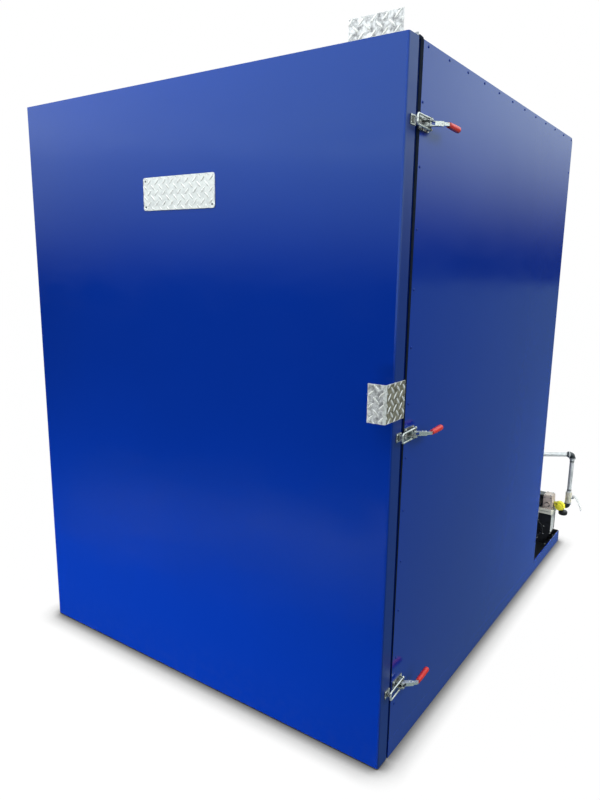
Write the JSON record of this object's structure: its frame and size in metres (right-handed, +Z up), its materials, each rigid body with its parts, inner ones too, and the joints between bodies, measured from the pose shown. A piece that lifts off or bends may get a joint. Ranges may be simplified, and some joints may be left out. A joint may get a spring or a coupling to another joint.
{
  "type": "powder coating oven",
  "caption": "Gas-fired box oven for curing powder coat: insulated cabinet on a skid, full-front hinged door with toggle clamps, burner and gas train on a rear platform.",
  "frame": {"origin": "on the floor, at the middle of the front cross member's underside", "axes": "+X to the right of someone who faces the door, +Y from the door to the back, +Z up"},
  "size_m": [1.6619, 2.121, 2.058],
  "materials": {
    "blue_gloss": "gloss powder coat, blue",
    "dark_blue": "gloss powder coat, dark blue in shade",
    "liner_steel": "plain aluminised sheet steel",
    "black_rubber": "matte black seal",
    "bright_zinc": "bright zinc plate",
    "checker_plate": "bright checker plate",
    "red_vinyl": "dipped red vinyl",
    "dark_steel": "dark malleable iron",
    "black_paint": "satin black paint",
    "grey_paint": "light grey paint",
    "cast_aluminium": "plain sand-cast aluminium",
    "yellow_paint": "yellow enamel",
    "black_plastic": "matte black",
    "brass_fitting": "nickel-plated brass",
    "pipe_steel": "mill-finish steel pipe"
  },
  "bodies": {
    "oven": {"base_rails": "blue_gloss", "cross_members": "dark_blue", "rear_platform": "black_paint", "floor_panel": "liner_steel", "left_wall": "blue_gloss", "right_wall": "blue_gloss", "rear_wall": "blue_gloss", "roof_panel": "blue_gloss", "front_frame": "blue_gloss", "left_skin": "blue_gloss", "right_skin": "blue_gloss", "cavity_liner": "liner_steel", "door_seal": "black_rubber", "frame_hinges": "blue_gloss", "clamp_bases": "bright_zinc", "burner_tube": "dark_steel", "blower_housing": "black_paint", "blower_cover": "grey_paint", "blower_flange": "cast_aluminium", "burner_head": "cast_aluminium", "igniter_box": "black_paint", "gas_regulator": "yellow_paint", "gas_cock": "black_plastic", "lower_elbow": "dark_steel", "shutoff_valve": "brass_fitting", "gas_riser": "pipe_steel", "upper_elbow": "dark_steel", "gas_inlet": "pipe_steel"},
    "door": {"door_panel": "blue_gloss", "door_sheet": "liner_steel", "nameplate": "checker_plate", "door_handle": "checker_plate", "top_bracket": "checker_plate", "door_hinges": "blue_gloss", "clamp_catches": "bright_zinc"},
    "clamp_low": {"lever_low": "bright_zinc", "grip_low": "red_vinyl"},
    "clamp_mid": {"lever_mid": "bright_zinc", "grip_mid": "red_vinyl"},
    "clamp_high": {"lever_high": "bright_zinc", "grip_high": "red_vinyl"},
    "bow_low": {"hook_low": "bright_zinc"},
    "bow_mid": {"hook_mid": "bright_zinc"},
    "bow_high": {"hook_high": "bright_zinc"},
    "gas_lever": {"valve_lever": "bright_zinc"}
  },
  "joints": [
    {"name": "door_swing", "type": "hinge", "parent": "oven", "child": "door", "pos_m": [-0.776, -0.0295, 1], "axis": [0, 0, -1], "range_deg": [0, 180]},
    {"name": "clamp_low_turn", "type": "hinge", "parent": "oven", "child": "clamp_low", "pos_m": [0.782, 0.009, 0.238], "axis": [0, 0, -1], "range_deg": [0, 120]},
    {"name": "clamp_mid_turn", "type": "hinge", "parent": "oven", "child": "clamp_mid", "pos_m": [0.782, 0.009, 1.012], "axis": [0, 0, -1], "range_deg": [0, 120]},
    {"name": "clamp_high_turn", "type": "hinge", "parent": "oven", "child": "clamp_high", "pos_m": [0.782, 0.009, 1.815], "axis": [0, 0, -1], "range_deg": [0, 120]},
    {"name": "bow_low_turn", "type": "hinge", "parent": "clamp_low", "child": "bow_low", "pos_m": [0.776, 0.022, 0.238], "axis": [0, 0, -1], "range_deg": [-138, 0]},
    {"name": "bow_mid_turn", "type": "hinge", "parent": "clamp_mid", "child": "bow_mid", "pos_m": [0.776, 0.022, 1.012], "axis": [0, 0, -1], "range_deg": [-138, 0]},
    {"name": "bow_high_turn", "type": "hinge", "parent": "clamp_high", "child": "bow_high", "pos_m": [0.776, 0.022, 1.815], "axis": [0, 0, -1], "range_deg": [-138, 0]},
    {"name": "valve_turn", "type": "hinge", "parent": "oven", "child": "gas_lever", "pos_m": [0.828, 1.9105, 0.281], "axis": [1, 0, 0], "range_deg": [0, 90]}
  ],
  "couplings": [
    {"joint": "bow_low_turn", "follows": "clamp_low_turn", "ratio": -1.15},
    {"joint": "bow_mid_turn", "follows": "clamp_mid_turn", "ratio": -1.15},
    {"joint": "bow_high_turn", "follows": "clamp_high_turn", "ratio": -1.15}
  ]
}
